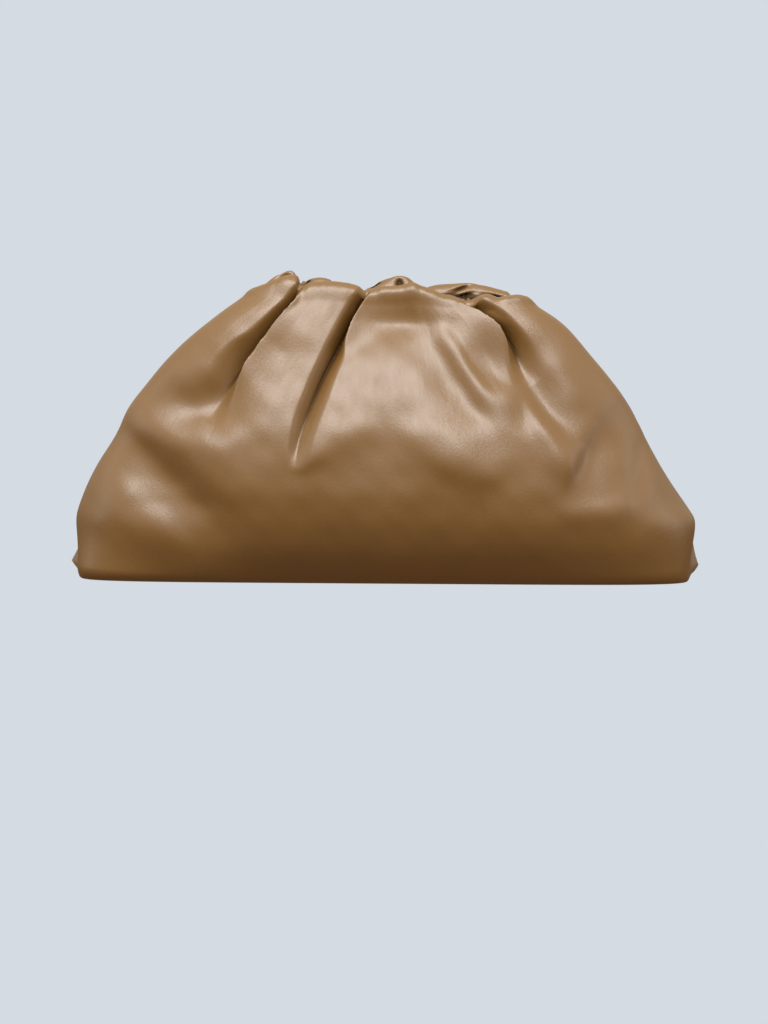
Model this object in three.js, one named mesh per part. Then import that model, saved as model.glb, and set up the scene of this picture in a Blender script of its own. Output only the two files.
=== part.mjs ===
// A gathered leather clutch: one soft wrap of leather, pleated over a stiff frame along its closed mouth.
// Millimetres, +Z up. The front faces -Y, and the origin is the middle of the flat sole.
import * as THREE from "three";

// Overall sizes
const BODY_LENGTH = 378;
const BODY_DEPTH = 128;
const BODY_HEIGHT = 176;
const SOLE_LENGTH = 368;
const SOLE_DEPTH = 84;
const LEATHER = 2;

// The mouth, and the frame bar that the lips are wrapped round
const MOUTH_LENGTH = 156;
const MOUTH_GAP = 5.5;
const MOUTH_SHIFT = 4;
const BAR_THICKNESS = 3;
const BAR_HEIGHT = 14;
const BAR_CLEARANCE = 0.5;
const FLAP_TAIL = 8;
const LIP_ROUND = 11;
const PLEAT_ROOM = 7;
const END_ROOM = 2.5;
const BACK_RISE = 2;
const LEFT_DROOP = { height: 2.5, power: 6 };
const RIGHT_DROOP = { height: 7, power: 3.5 };

// The gathers, and the side seams that are tucked in between the front and the back
const PLEAT_DEPTH = 9;
const PLEAT_WIDTH = 20;
const CREASE_SOFTNESS = 0.3;
const SEAM_TUCK = 13;
const SEAM_WIDTH = 11;

// The small ear that is pinched out of each lower back corner
const CORNER_EARS = { reach: 5, behind: 15, height: 13, spread: 12 };

// Columns run round the body from the left seam, over the front and then over the back
const COLUMNS = 104;
const CROWDING = 0.3;

// Lip rows, from the flap that is turned into the mouth, over the crest, to under the roll. reach is a share
// of the lip's thickness, drop of LIP_ROUND, tail of the flap's length, crest of the crest's rise, and pleat of
// PLEAT_ROOM. lift is the share of the drop that is lost at the ends, where the lips run into the shoulders.
const LIP_ROWS = [
  { name: "flap_end", reach: 0, drop: 1, lift: 0, tail: 1, crest: 0, square: 7, pleat: 0 },
  { name: "flap_top", reach: 0, drop: 1, lift: 0, tail: 0, crest: 0, square: 7, pleat: 0 },
  { name: "inner_roll", reach: 0.13, drop: 0.4, lift: 0, tail: 0, crest: 0.3, square: 6, pleat: 0.3 },
  { name: "crest", reach: 0.5, drop: 0, lift: 0, tail: 0, crest: 1, square: 4.5, pleat: 0.6 },
  { name: "outer_roll", reach: 0.82, drop: 0.22, lift: 0.5, tail: 0, crest: 0.8, square: 3.8, pleat: 0.8 },
  { name: "under_roll", reach: 1.12, drop: 0.95, lift: 0.6, tail: 0, crest: 0.35, square: 3.2, pleat: 0.95 },
];

// Body rows. left, right and deep are shares of the way from the lip out to half the body's length or depth.
// mid, leftUp and rightUp are shares of the height, tuck of SEAM_TUCK, and pleat of PLEAT_DEPTH.
const BODY_ROWS = [
  { name: "neck", left: 0.18, right: 0.19, deep: 0.165, leftUp: 0.9, mid: 0.885, rightUp: 0.882,
    leftSquare: 2.8, rightSquare: 2.8, tuck: 0.45, pleat: 1, steps: 2 },
  { name: "shoulder", left: 0.45, right: 0.44, deep: 0.42, leftUp: 0.785, mid: 0.74, rightUp: 0.745,
    leftSquare: 2.4, rightSquare: 2.4, tuck: 0.9, pleat: 1, steps: 3 },
  { name: "chest", left: 0.7, right: 0.66, deep: 0.675, leftUp: 0.605, mid: 0.61, rightUp: 0.58,
    leftSquare: 2.3, rightSquare: 2.3, tuck: 1, pleat: 1, steps: 2 },
  { name: "belly", left: 0.865, right: 0.81, deep: 0.91, leftUp: 0.43, mid: 0.465, rightUp: 0.395,
    leftSquare: 2.3, rightSquare: 2.3, tuck: 0.8, pleat: 1, steps: 2 },
  { name: "waist", left: 0.98, right: 0.955, deep: 1, leftUp: 0.262, mid: 0.31, rightUp: 0.255,
    leftSquare: 2.5, rightSquare: 2.5, tuck: 0.4, pleat: 1, steps: 2 },
  { name: "skirt", left: 1.005, right: 1.005, deep: 0.93, leftUp: 0.195, mid: 0.165, rightUp: 0.18,
    leftSquare: 2.7, rightSquare: 3, tuck: 0.15, pleat: 0.7, steps: 1 },
  { name: "notch", left: 0.985, right: 0.99, deep: 0.78, leftUp: 0.12, mid: 0.075, rightUp: 0.12,
    leftSquare: 2.9, rightSquare: 3.8, tuck: 0.6, pleat: 0.3, steps: 1 },
  { name: "heel", left: 0.972, right: 0.965, deep: 0.64, leftUp: 0.045, mid: 0.025, rightUp: 0.045,
    leftSquare: 3.8, rightSquare: 5, tuck: -0.35, pleat: 0, steps: 1 },
];

const SOLE_ENDS = { leftSquare: 4.2, rightSquare: 5.4 };

// How far the gathered leather stands above or below the level crest. x is a share of half the lips' length,
// and rise a share of LIP_ROUND.
const FRONT_CREST = [
  { x: -0.994, rise: -0.27 },
  { x: -0.814, rise: 0.29 },
  { x: -0.655, rise: 0.64 },
  { x: -0.542, rise: 0.18 },
  { x: -0.407, rise: 0.25 },
  { x: -0.203, rise: 0.09 },
  { x: -0.09, rise: -0.12 },
  { x: 0.068, rise: 0.03 },
  { x: 0.203, rise: 0.18 },
  { x: 0.316, rise: -0.13 },
  { x: 0.497, rise: -0.39 },
  { x: 0.61, rise: -0.42 },
  { x: 0.723, rise: -0.27 },
  { x: 0.927, rise: -0.03 },
  { x: 1.051, rise: 0 },
];

const BACK_CREST = [
  { x: -0.994, rise: -0.18 },
  { x: -0.746, rise: 0.57 },
  { x: -0.644, rise: 0.68 },
  { x: -0.554, rise: 0.14 },
  { x: -0.452, rise: 0.27 },
  { x: -0.249, rise: -0.22 },
  { x: -0.136, rise: -0.33 },
  { x: 0.102, rise: 0.35 },
  { x: 0.237, rise: -0.16 },
  { x: 0.588, rise: 0.08 },
  { x: 0.904, rise: -0.15 },
  { x: 1.051, rise: -0.15 },
];

// Folds. x is a share of half the body's length, z of its height, along a path from the mouth down.
// depth is a share of a full pleat, below 0 for a ridge, and left and right are shares of PLEAT_WIDTH.
const FRONT_FOLDS = [
  { name: "left_pleat", path: [
    { x: -0.251, z: 1.093, depth: 0.8, left: 0.3, right: 0.3 },
    { x: -0.248, z: 1.011, depth: 0.902, left: 0.3, right: 0.3 },
    { x: -0.307, z: 0.919, depth: 0.95, left: 0.36, right: 0.36 },
    { x: -0.385, z: 0.815, depth: 0.95, left: 0.6, right: 0.46 },
    { x: -0.448, z: 0.73, depth: 0.95, left: 1, right: 0.46 },
    { x: -0.495, z: 0.664, depth: 0.95, left: 1.2, right: 0.46 },
    { x: -0.529, z: 0.619, depth: 0.95, left: 1.1, right: 0.46 },
    { x: -0.554, z: 0.579, depth: 0.5, left: 1, right: 0.5 },
    { x: -0.58, z: 0.533, depth: 0, left: 1, right: 0.5 } ] },
  { name: "left_puff", path: [
    { x: -0.276, z: 1.018, depth: 0, left: 0.3, right: 0.4 },
    { x: -0.37, z: 0.916, depth: -0.25, left: 0.36, right: 0.7 },
    { x: -0.451, z: 0.831, depth: -0.3, left: 0.5, right: 0.8 },
    { x: -0.548, z: 0.756, depth: 0, left: 0.5, right: 0.8 } ] },
  { name: "left_pocket", path: [
    { x: -0.72, z: 0.681, depth: 0, left: 0.46, right: 0.8 },
    { x: -0.652, z: 0.645, depth: 0.3, left: 0.5, right: 1.2 },
    { x: -0.583, z: 0.625, depth: 0.45, left: 0.5, right: 1.4 },
    { x: -0.526, z: 0.628, depth: 0.3, left: 0.5, right: 1.2 },
    { x: -0.482, z: 0.648, depth: 0, left: 0.46, right: 0.8 } ] },
  { name: "left_lobe", path: [
    { x: -0.799, z: 0.625, depth: 0, left: 0.6, right: 0.5 },
    { x: -0.72, z: 0.563, depth: -0.25, left: 0.8, right: 0.7 },
    { x: -0.611, z: 0.516, depth: -0.4, left: 0.8, right: 0.8 },
    { x: -0.517, z: 0.498, depth: -0.3, left: 0.8, right: 0.8 },
    { x: -0.423, z: 0.495, depth: 0, left: 0.6, right: 0.6 } ] },
  { name: "under_left_lobe", path: [
    { x: -0.821, z: 0.55, depth: 0, left: 0.9, right: 0.6 },
    { x: -0.73, z: 0.467, depth: 0.45, left: 1.4, right: 0.9 },
    { x: -0.652, z: 0.391, depth: 0.6, left: 1.7, right: 1.1 },
    { x: -0.576, z: 0.273, depth: 0.35, left: 1.6, right: 1.2 },
    { x: -0.545, z: 0.145, depth: 0.15, left: 1.2, right: 1 },
    { x: -0.526, z: 0.075, depth: 0, left: 0.9, right: 0.8 } ] },
  { name: "corner_lobe", path: [
    { x: -0.902, z: 0.398, depth: 0, left: 0.9, right: 0.5 },
    { x: -0.821, z: 0.315, depth: -0.25, left: 1.2, right: 0.6 },
    { x: -0.72, z: 0.225, depth: -0.4, left: 1.2, right: 0.6 },
    { x: -0.639, z: 0.152, depth: -0.4, left: 0.9, right: 0.5 },
    { x: -0.583, z: 0.107, depth: 0, left: 0.5, right: 0.46 } ] },
  { name: "middle_pleat", path: [
    { x: 0.009, z: 1.093, depth: 0.8, left: 0.5, right: 0.3 },
    { x: -0.044, z: 1.008, depth: 0.95, left: 0.5, right: 0.3 },
    { x: -0.085, z: 0.919, depth: 0.95, left: 0.38, right: 0.36 },
    { x: -0.113, z: 0.851, depth: 0.85, left: 0.46, right: 0.46 },
    { x: -0.144, z: 0.766, depth: 0, left: 0.46, right: 0.46 } ] },
  { name: "lower_middle_pleat", path: [
    { x: -0.094, z: 0.897, depth: 0, left: 0.46, right: 0.5 },
    { x: -0.126, z: 0.821, depth: 0.6, left: 0.46, right: 0.9 },
    { x: -0.173, z: 0.713, depth: 0.95, left: 0.46, right: 1.1 },
    { x: -0.213, z: 0.615, depth: 0.9, left: 0.46, right: 0.9 },
    { x: -0.241, z: 0.516, depth: 0.6, left: 0.46, right: 0.7 },
    { x: -0.257, z: 0.412, depth: 0, left: 0.46, right: 0.5 } ] },
  { name: "middle_dimple", path: [
    { x: -0.101, z: 0.798, depth: 0, left: 0.9, right: 0.7 },
    { x: -0.032, z: 0.831, depth: 0.35, left: 1.8, right: 1.1 },
    { x: 0.062, z: 0.857, depth: 0.6, left: 2.3, right: 1.3 },
    { x: 0.15, z: 0.838, depth: 0.42, left: 1.8, right: 1.1 },
    { x: 0.213, z: 0.792, depth: 0, left: 0.9, right: 0.7 } ] },
  { name: "middle_arch", path: [
    { x: 0.015, z: 0.563, depth: 0, left: 1, right: 1 },
    { x: 0.015, z: 0.453, depth: 0.36, left: 1.4, right: 1.4 },
    { x: 0.015, z: 0.363, depth: 0.26, left: 1.7, right: 1.7 },
    { x: 0.018, z: 0.214, depth: 0, left: 1.8, right: 1.8 } ] },
  { name: "soft_hollow", path: [
    { x: 0.119, z: 0.897, depth: 0, left: 0.8, right: 0.6 },
    { x: 0.181, z: 0.805, depth: 0.3, left: 1, right: 0.6 },
    { x: 0.256, z: 0.7, depth: 0.36, left: 1, right: 0.6 },
    { x: 0.35, z: 0.583, depth: 0, left: 1, right: 0.7 } ] },
  { name: "right_lobe", path: [
    { x: 0.043, z: 0.563, depth: 0, left: 0.8, right: 1 },
    { x: 0.15, z: 0.505, depth: -0.22, left: 0.9, right: 1.2 },
    { x: 0.256, z: 0.439, depth: -0.32, left: 0.8, right: 1.1 },
    { x: 0.332, z: 0.419, depth: -0.2, left: 0.6, right: 0.9 },
    { x: 0.382, z: 0.432, depth: 0, left: 0.5, right: 0.6 } ] },
  { name: "crisp_step", path: [
    { x: 0.1, z: 1.093, depth: 0.1, left: 0.3, right: 0.8 },
    { x: 0.141, z: 0.995, depth: 0.2, left: 0.3, right: 1.2 },
    { x: 0.216, z: 0.906, depth: 0.38, left: 0.36, right: 1.5 },
    { x: 0.281, z: 0.798, depth: 0.4, left: 0.46, right: 1.5 },
    { x: 0.35, z: 0.694, depth: 0.25, left: 0.46, right: 1 },
    { x: 0.4, z: 0.635, depth: 0, left: 0.46, right: 0.6 } ] },
  { name: "right_pleat", path: [
    { x: 0.188, z: 1.093, depth: 0.8, left: 0.3, right: 0.35 },
    { x: 0.256, z: 0.982, depth: 0.902, left: 0.3, right: 0.3 },
    { x: 0.313, z: 0.933, depth: 0.95, left: 0.36, right: 0.36 },
    { x: 0.391, z: 0.861, depth: 0.95, left: 0.46, right: 0.46 },
    { x: 0.432, z: 0.785, depth: 0.95, left: 0.46, right: 0.46 },
    { x: 0.463, z: 0.7, depth: 0.8, left: 0.46, right: 0.46 },
    { x: 0.519, z: 0.609, depth: 0.6, left: 0.6, right: 0.5 },
    { x: 0.563, z: 0.53, depth: 0.3, left: 0.6, right: 0.5 },
    { x: 0.601, z: 0.446, depth: 0, left: 0.6, right: 0.5 } ] },
  { name: "gusset_ridge", path: [
    { x: 0.413, z: 0.694, depth: 0, left: 0.46, right: 0.46 },
    { x: 0.457, z: 0.602, depth: -0.2, left: 0.6, right: 0.5 },
    { x: 0.504, z: 0.502, depth: -0.3, left: 0.8, right: 0.6 },
    { x: 0.551, z: 0.391, depth: -0.35, left: 0.8, right: 0.7 },
    { x: 0.582, z: 0.322, depth: 0, left: 0.6, right: 0.6 } ] },
  { name: "right_side_fold", path: [
    { x: 0.745, z: 0.583, depth: 0, left: 0.5, right: 0.6 },
    { x: 0.698, z: 0.488, depth: 0.18, left: 0.7, right: 0.6 },
    { x: 0.651, z: 0.398, depth: 0.25, left: 0.7, right: 0.6 },
    { x: 0.594, z: 0.294, depth: 0, left: 0.6, right: 0.5 } ] },
  { name: "right_corner_ridge", path: [
    { x: 0.563, z: 0.273, depth: 0, left: 0.5, right: 0.9 },
    { x: 0.657, z: 0.277, depth: -0.13, left: 0.6, right: 1.2 },
    { x: 0.767, z: 0.294, depth: -0.13, left: 0.6, right: 1.2 },
    { x: 0.851, z: 0.322, depth: 0, left: 0.5, right: 1 } ] },
];

const BACK_FOLDS = [
  { name: "back_left_pleat", path: [
    { x: -0.25, z: 1.06, depth: 0.5, left: 0.3, right: 0.3 },
    { x: -0.33, z: 0.88, depth: 0.95, left: 0.8, right: 0.46 },
    { x: -0.44, z: 0.7, depth: 0.9, left: 1.1, right: 0.46 },
    { x: -0.56, z: 0.5, depth: 0, left: 1, right: 0.5 } ] },
  { name: "back_middle_pleat", path: [
    { x: -0.06, z: 1.06, depth: 0.5, left: 0.3, right: 0.3 },
    { x: -0.09, z: 0.86, depth: 0.95, left: 0.7, right: 0.46 },
    { x: -0.14, z: 0.65, depth: 0.8, left: 0.8, right: 0.46 },
    { x: -0.13, z: 0.44, depth: 0, left: 0.7, right: 0.46 } ] },
  { name: "back_short_pleat", path: [
    { x: 0.115, z: 1.06, depth: 0.5, left: 0.3, right: 0.3 },
    { x: 0.15, z: 0.88, depth: 0.9, left: 0.46, right: 0.7 },
    { x: 0.19, z: 0.72, depth: 0.6, left: 0.46, right: 0.8 },
    { x: 0.27, z: 0.55, depth: 0, left: 0.46, right: 0.7 } ] },
  { name: "back_right_pleat", path: [
    { x: 0.4, z: 1.06, depth: 0.5, left: 0.3, right: 0.3 },
    { x: 0.42, z: 0.88, depth: 0.95, left: 0.46, right: 0.8 },
    { x: 0.48, z: 0.7, depth: 0.9, left: 0.46, right: 1.1 },
    { x: 0.6, z: 0.47, depth: 0, left: 0.5, right: 1 } ] },
  { name: "back_side_fold", path: [
    { x: 0.83, z: 0.5, depth: 0, left: 0.9, right: 0.6 },
    { x: 0.7, z: 0.37, depth: 0.5, left: 1, right: 0.6 },
    { x: 0.58, z: 0.24, depth: 0, left: 0.8, right: 0.5 } ] },
  { name: "back_corner_fold", path: [
    { x: -0.72, z: 0.56, depth: 0, left: 0.5, right: 0.8 },
    { x: -0.66, z: 0.42, depth: 0.5, left: 0.5, right: 0.9 },
    { x: -0.6, z: 0.28, depth: 0, left: 0.5, right: 0.8 } ] },
  { name: "back_left_lobe", path: [
    { x: -0.42, z: 0.56, depth: 0, left: 0.8, right: 0.9 },
    { x: -0.38, z: 0.45, depth: -0.3, left: 0.9, right: 1.1 },
    { x: -0.36, z: 0.36, depth: 0, left: 0.8, right: 0.9 } ] },
  { name: "back_right_lobe", path: [
    { x: 0.36, z: 0.58, depth: 0, left: 0.8, right: 0.9 },
    { x: 0.4, z: 0.46, depth: -0.3, left: 0.9, right: 1.1 },
    { x: 0.42, z: 0.36, depth: 0, left: 0.8, right: 0.9 } ] },
];

// A lip is a flap of leather, the bar with its clearances, a second wall of leather, and the room of a pleat.
const SLIT = MOUTH_GAP / 2;
const BAR_INSIDE = LEATHER + BAR_CLEARANCE;
const CHANNEL = BAR_INSIDE + BAR_THICKNESS + BAR_INSIDE;
const LIP_THICKNESS = CHANNEL + PLEAT_ROOM;
const LIP_END = MOUTH_LENGTH / 2 + CHANNEL + END_ROOM;
const FLAP_LENGTH = BAR_HEIGHT + FLAP_TAIL;

// A smooth curve through values at rising knots that never passes its own high and low points.
function smoothThrough(knots, values) {
  const rises = values.slice(1).map((value, i) => (value - values[i]) / (knots[i + 1] - knots[i]));
  const slopes = values.map((_, i) => {
    if (i === 0 || i === values.length - 1) return rises[Math.max(0, i - 1)];
    const [before, after] = [rises[i - 1], rises[i]];
    return before * after <= 0 ? 0 : (2 * before * after) / (before + after);
  });
  return (at) => {
    const i = Math.min(knots.length - 2, knots.filter((knot) => knot <= at).length - 1);
    const width = knots[i + 1] - knots[i];
    const t = Math.min(1, (at - knots[i]) / width);
    const start = values[i] * (1 + 2 * t) * (1 - t) ** 2 + slopes[i] * width * t * (1 - t) ** 2;
    const end = values[i + 1] * (3 - 2 * t) * t ** 2 - slopes[i + 1] * width * (1 - t) * t ** 2;
    return start + end;
  };
}

// Height of the frame's own line at x, level along the middle and falling away to each end.
function crestHeight(x) {
  const along = (x - MOUTH_SHIFT) / LIP_END;
  const droop = along < 0 ? LEFT_DROOP : RIGHT_DROOP;
  return BODY_HEIGHT - droop.height * Math.min(Math.abs(along), 1) ** droop.power;
}

const [frontRise, backRise] = [FRONT_CREST, BACK_CREST].map((table) =>
  smoothThrough(table.map((place) => place.x * LIP_END), table.map((place) => place.rise * LIP_ROUND)),
);

// How far the leather's crest stands above that line at x, on the front or the back lip.
function crestRise(x, side) {
  const table = side < 0 ? FRONT_CREST : BACK_CREST;
  const inside = Math.min(Math.max(x, table[0].x * LIP_END), table[table.length - 1].x * LIP_END);
  return side < 0 ? frontRise(inside) : backRise(inside);
}

// A point of a flattened loop. across runs from -1 at the left seam to 1 at the right one, and size gives the
// loop's reach to the left, right and front, and how square its left and right ends are.
function onLoop(across, side, size) {
  const x = across * (across < 0 ? size.left : size.right);
  const square = across < 0 ? size.leftSquare : size.rightSquare;
  const y = side * size.deep * Math.max(0, 1 - Math.abs(across) ** square) ** (1 / square);
  return new THREE.Vector3(x, y, 0);
}

function lipPoint(row, across, side) {
  const reach = row.reach * LIP_THICKNESS;
  const endReach = row.reach * (CHANNEL + END_ROOM);
  const half = MOUTH_LENGTH / 2 + endReach;
  const ends = { leftSquare: row.square, rightSquare: row.square };
  const size = { left: half - MOUTH_SHIFT, right: half + MOUTH_SHIFT, deep: SLIT + reach, ...ends };
  const point = onLoop(across, side, size);
  const rise = side > 0 ? BACK_RISE * (1 - across ** 2) : 0;
  const drop = row.drop * LIP_ROUND * (1 - row.lift * across ** 4);
  const gathered = row.crest * crestRise(point.x, side);
  point.z = crestHeight(point.x) + rise + gathered - drop - row.tail * FLAP_LENGTH;
  return point;
}

function bodyPoint(row, across, side) {
  const leftLip = LIP_END - MOUTH_SHIFT;
  const rightLip = LIP_END + MOUTH_SHIFT;
  const lip = SLIT + LIP_THICKNESS;
  const size = {
    left: leftLip + row.left * (BODY_LENGTH / 2 - leftLip),
    right: rightLip + row.right * (BODY_LENGTH / 2 - rightLip),
    deep: lip + row.deep * (BODY_DEPTH / 2 - lip),
  };
  const point = onLoop(across, side, { ...row, ...size });
  const end = across < 0 ? row.leftUp : row.rightUp;
  point.z = BODY_HEIGHT * (row.mid + (end - row.mid) * across ** 2);
  const nearSeam = Math.exp(-((point.y / SEAM_WIDTH) ** 2));
  point.x -= Math.sign(across) * SEAM_TUCK * row.tuck * nearSeam;
  const fromEar = Math.hypot(point.y - CORNER_EARS.behind, point.z - CORNER_EARS.height);
  point.x += Math.sign(across) * CORNER_EARS.reach * Math.exp(-((fromEar / CORNER_EARS.spread) ** 2));
  return point;
}

function solePoint(across, side, onEdge) {
  const half = (SOLE_LENGTH - (onEdge ? 0 : SOLE_DEPTH)) / 2;
  return onLoop(across, side, { left: half, right: half, deep: onEdge ? SOLE_DEPTH / 2 : 0, ...SOLE_ENDS });
}

// Every row with the depth of a full pleat there, the share of it that fades out at the ends, the steps that
// lead to the row, and a function that places its points.
const ROWS = [
  ...LIP_ROWS.map((row) => ({
    pleatDepth: row.pleat * PLEAT_ROOM,
    endFade: 1,
    steps: 1,
    place: (across, side) => lipPoint(row, across, side),
  })),
  ...BODY_ROWS.map((row) => ({
    pleatDepth: row.pleat * PLEAT_DEPTH,
    endFade: 0,
    steps: row.steps,
    place: (across, side) => bodyPoint(row, across, side),
  })),
  { pleatDepth: 0, endFade: 0, steps: 1, place: (across, side) => solePoint(across, side, true) },
  { pleatDepth: 0, endFade: 0, steps: 1, place: (across, side) => solePoint(across, side, false) },
];

// Where each row lies along the middle of the front, and the stations between the rows.
function rowStations() {
  const middle = ROWS.map((row) => row.place(0, -1));
  const knots = [0];
  for (let i = 1; i < ROWS.length; i++) knots.push(knots[i - 1] + middle[i].distanceTo(middle[i - 1]));
  const stations = [0];
  for (let i = 1; i < ROWS.length; i++) {
    const { steps } = ROWS[i];
    for (let k = 1; k <= steps; k++) stations.push(knots[i - 1] + ((knots[i] - knots[i - 1]) * k) / steps);
  }
  stations[stations.length - 1] = knots[knots.length - 1];
  return { knots, stations };
}

// across and side of each column, crowded a little towards the middle of the front and back.
function columnPlaces() {
  const half = COLUMNS / 2;
  return Array.from({ length: COLUMNS }, (_, i) => {
    const step = i <= half ? i : COLUMNS - i;
    const u = (2 * step) / half - 1;
    const turn = (Math.PI / 2) * (u - (CROWDING * Math.sin(Math.PI * u)) / Math.PI);
    return { across: Math.abs(u) === 1 ? u : Math.sin(turn), side: i <= half ? -1 : 1 };
  });
}

// How deep one fold is at a point of the front or back view, as a share of a full pleat.
function foldShare(fold, x, z) {
  const points = fold.path.map((p) => ({ ...p, px: p.x * BODY_LENGTH / 2, pz: p.z * BODY_HEIGHT }));
  let nearest = { distance: Infinity };
  for (let i = 1; i < points.length; i++) {
    const [a, b] = [points[i - 1], points[i]];
    const [dx, dz] = [b.px - a.px, b.pz - a.pz];
    const t = Math.min(1, Math.max(0, ((x - a.px) * dx + (z - a.pz) * dz) / (dx * dx + dz * dz)));
    const distance = Math.hypot(x - a.px - t * dx, z - a.pz - t * dz);
    if (distance >= nearest.distance) continue;
    const toRight = dx * (z - a.pz) - dz * (x - a.px) > 0;
    const width = toRight ? a.right + (b.right - a.right) * t : a.left + (b.left - a.left) * t;
    nearest = { distance, width: width * PLEAT_WIDTH, depth: a.depth + (b.depth - a.depth) * t };
  }
  const away = Math.min(1, nearest.distance / nearest.width);
  const rounded = Math.hypot(away, CREASE_SOFTNESS) - CREASE_SOFTNESS;
  const share = rounded / (Math.hypot(1, CREASE_SOFTNESS) - CREASE_SOFTNESS);
  return nearest.depth * (1 - share) ** 2 * (1 + share);
}

// A grid of points with its unit normals, facing out of the leather. The columns close on themselves.
function normalsOf(grid) {
  return grid.map((row, j) =>
    row.map((point, i) => {
      if (j === grid.length - 1) return new THREE.Vector3(0, 0, -1);
      const before = row[(i + COLUMNS - 1) % COLUMNS];
      const along = row[(i + 1) % COLUMNS].clone().sub(before);
      const down = grid[j + 1][i].clone().sub(grid[Math.max(0, j - 1)][i]);
      return down.cross(along).normalize();
    }),
  );
}

function offsetGrid(grid, normals, distanceAt) {
  const moved = (point, i, j) => point.clone().addScaledVector(normals[j][i], -distanceAt(i, j));
  return grid.map((row, j) => row.map((point, i) => moved(point, i, j)));
}

// The outer face of the leather as a grid, from the flap's end in the mouth to the line along the sole.
function outerFace() {
  const { knots, stations } = rowStations();
  const places = columnPlaces();
  const base = stations.map(() => []);
  for (const { across, side } of places) {
    const through = ROWS.map((row) => row.place(across, side));
    const curves = ["x", "y", "z"].map((axis) => smoothThrough(knots, through.map((p) => p[axis])));
    stations.forEach((at, j) => base[j].push(new THREE.Vector3(...curves.map((curve) => curve(at)))));
  }
  const fullDepth = smoothThrough(knots, ROWS.map((row) => row.pleatDepth));
  const endFade = smoothThrough(knots, ROWS.map((row) => row.endFade));
  return offsetGrid(base, normalsOf(base), (i, j) => {
    const { across, side } = places[i];
    const folds = side < 0 ? FRONT_FOLDS : BACK_FOLDS;
    const { x, z } = base[j][i];
    const depth = fullDepth(stations[j]) * (1 - endFade(stations[j]) * across ** 4);
    return depth * folds.reduce((sum, fold) => sum + foldShare(fold, x, z), 0);
  });
}

// One closed surface from two grids that are joined along their first rows and each end in a line.
function shellGeometry(outer, inner) {
  const corners = [];
  const quad = (a, b, c, d) => corners.push(a, b, c, a, c, d);
  for (let i = 0; i < COLUMNS; i++) {
    const next = (i + 1) % COLUMNS;
    for (let j = 1; j < outer.length; j++) {
      quad(outer[j - 1][i], outer[j][i], outer[j][next], outer[j - 1][next]);
      quad(inner[j - 1][i], inner[j - 1][next], inner[j][next], inner[j][i]);
    }
    quad(outer[0][i], outer[0][next], inner[0][next], inner[0][i]);
  }
  return new THREE.BufferGeometry().setFromPoints(corners);
}

// The frame: one closed bar of rectangular section round the slit, inside the two lips.
function frameGeometry() {
  const corners = [
    { out: 0, down: 0 },
    { out: BAR_THICKNESS, down: 0 },
    { out: BAR_THICKNESS, down: BAR_HEIGHT },
    { out: 0, down: BAR_HEIGHT },
  ];
  const places = columnPlaces();
  const loops = corners.map(({ out, down }) =>
    places.map(({ across, side }) => {
      const half = MOUTH_LENGTH / 2 + BAR_INSIDE + out;
      const ends = { leftSquare: LIP_ROWS[0].square, rightSquare: LIP_ROWS[0].square };
      const size = { left: half - MOUTH_SHIFT, right: half + MOUTH_SHIFT, deep: SLIT + BAR_INSIDE + out };
      const point = onLoop(across, side, { ...size, ...ends });
      point.z = crestHeight(point.x) - LIP_ROUND - down;
      return point;
    }),
  );
  const points = [];
  corners.forEach((_, k) => {
    const [loop, nextLoop] = [loops[k], loops[(k + 1) % loops.length]];
    places.forEach((_place, i) => {
      const next = (i + 1) % places.length;
      points.push(loop[i], nextLoop[i], nextLoop[next], loop[i], nextLoop[next], loop[next]);
    });
  });
  return new THREE.BufferGeometry().setFromPoints(points);
}

function namedMesh(name, geometry, look) {
  geometry.computeVertexNormals();
  const mesh = new THREE.Mesh(geometry, new THREE.MeshStandardMaterial(look));
  mesh.name = name;
  return mesh;
}

function leatherBody() {
  const outer = outerFace();
  const inner = offsetGrid(outer, normalsOf(outer), () => LEATHER);
  const look = { color: 0xa5774a, roughness: 0.5, metalness: 0 };
  return namedMesh("leather_body", shellGeometry(outer, inner), look);
}

const clutch = new THREE.Group();
clutch.add(leatherBody());
clutch.add(namedMesh("closure_frame", frameGeometry(), { color: 0x8a8a88, roughness: 0.35, metalness: 1 }));

export default clutch;
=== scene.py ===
# %% [markdown]
# # A gathered leather clutch
#
# The bag is one soft wrap of calf leather. It is pleated over a hidden frame along its closed mouth,
# swells into a round belly, and stands on a flat sole with pinched corners. Nothing else shows, so
# the whole lesson is about two things: a believable soft form, and a believable leather.
#
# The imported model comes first. It holds the bag's real size and place, and every piece made here
# keeps to it, apart from the few millimetres by which soft leather may stand proud.

# %% Load the frame
import math

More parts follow.
